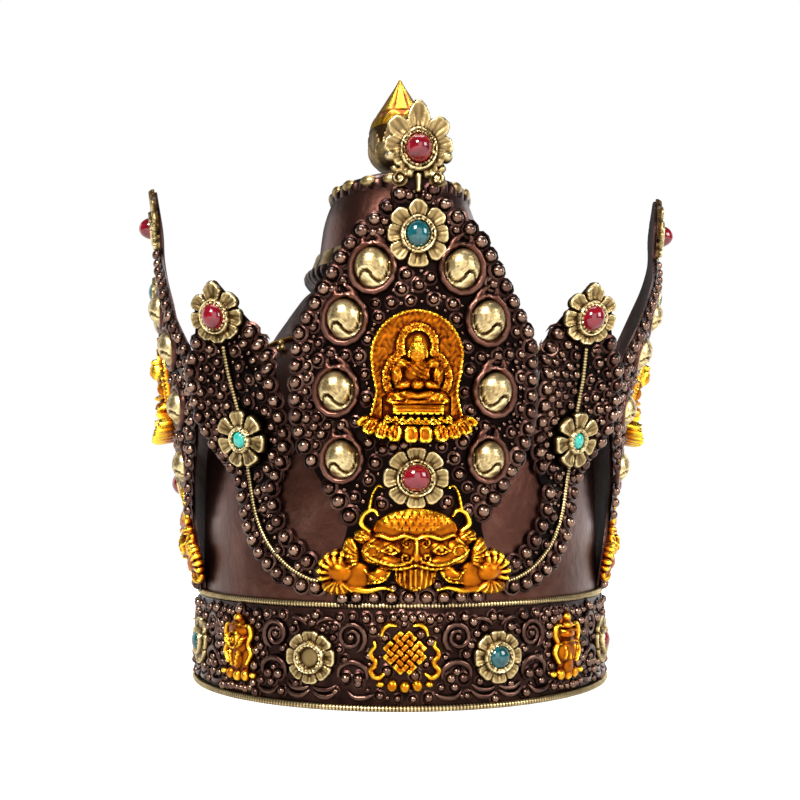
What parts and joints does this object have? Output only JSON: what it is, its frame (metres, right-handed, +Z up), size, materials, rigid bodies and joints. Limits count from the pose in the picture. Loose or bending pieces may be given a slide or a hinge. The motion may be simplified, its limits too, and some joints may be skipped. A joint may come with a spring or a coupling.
{
  "type": "buddhist monk crown",
  "caption": "Tiered copper ritual crown worn on the head: head band, drum and dome, tall and low leaves with beading, gilt plaques, stone rosettes and a gilt finial.",
  "frame": {"origin": "centre of the head opening, in the plane of the head band's lower edge", "axes": "+Z up through the finial, -Y out through the front leaf, +X towards the leaf on the right as seen from the front"},
  "size_m": [0.278, 0.2593, 0.3081],
  "materials": {
    "smooth_copper": "beaten and burnished copper, red-brown, semi-gloss",
    "dark_copper": "oxidised copper, dark brown, semi-gloss",
    "silver": "silvered white metal with brown tarnish in the recesses",
    "gilt": "fire-gilt copper with orange recesses",
    "coral": "polished red coral cabochon",
    "turquoise": "polished blue-green turquoise cabochon"
  },
  "bodies": {
    "root": {"cap": "smooth_copper", "head_band": "dark_copper", "lower_rim_wire": "silver", "upper_rim_wire": "silver", "middle_tier_ring": "dark_copper", "top_tier_ring": "dark_copper", "finial_bud": "silver", "finial_drop": "gilt", "front_leaf": "dark_copper", "right_leaf": "dark_copper", "back_leaf": "dark_copper", "left_leaf": "dark_copper", "front_buddha_plaque": "gilt", "right_buddha_plaque": "gilt", "back_buddha_plaque": "gilt", "left_buddha_plaque": "gilt", "front_beast_mask": "gilt", "right_beast_mask": "gilt", "back_beast_mask": "gilt", "left_beast_mask": "gilt", "front_coral_tip_rosette": "coral", "right_coral_tip_rosette": "coral", "back_coral_tip_rosette": "coral", "left_coral_tip_rosette": "coral", "front_turquoise_rosette": "turquoise", "right_turquoise_rosette": "turquoise", "back_turquoise_rosette": "turquoise", "left_turquoise_rosette": "turquoise", "front_coral_rosette": "coral", "right_coral_rosette": "coral", "back_coral_rosette": "coral", "left_coral_rosette": "coral", "front_right_small_leaf": "dark_copper", "back_right_small_leaf": "dark_copper", "back_left_small_leaf": "dark_copper", "front_left_small_leaf": "dark_copper", "front_right_coral_rosette": "coral", "back_right_coral_rosette": "coral", "back_left_coral_rosette": "coral", "front_left_coral_rosette": "coral", "front_right_turquoise_flower": "turquoise", "back_right_turquoise_flower": "turquoise", "back_left_turquoise_flower": "turquoise", "front_left_turquoise_flower": "turquoise", "band_endless_knot": "gilt", "band_vase": "gilt", "band_parasol": "gilt", "band_fish_pair": "gilt", "band_wheel": "gilt", "band_lotus": "gilt", "band_banner": "gilt", "band_conch": "gilt", "band_flower_1": "silver", "band_flower_2": "silver", "band_flower_3": "silver", "band_flower_4": "silver", "band_flower_5": "silver", "band_flower_6": "silver", "band_flower_7": "silver", "band_flower_8": "silver"}
  },
  "joints": []
}
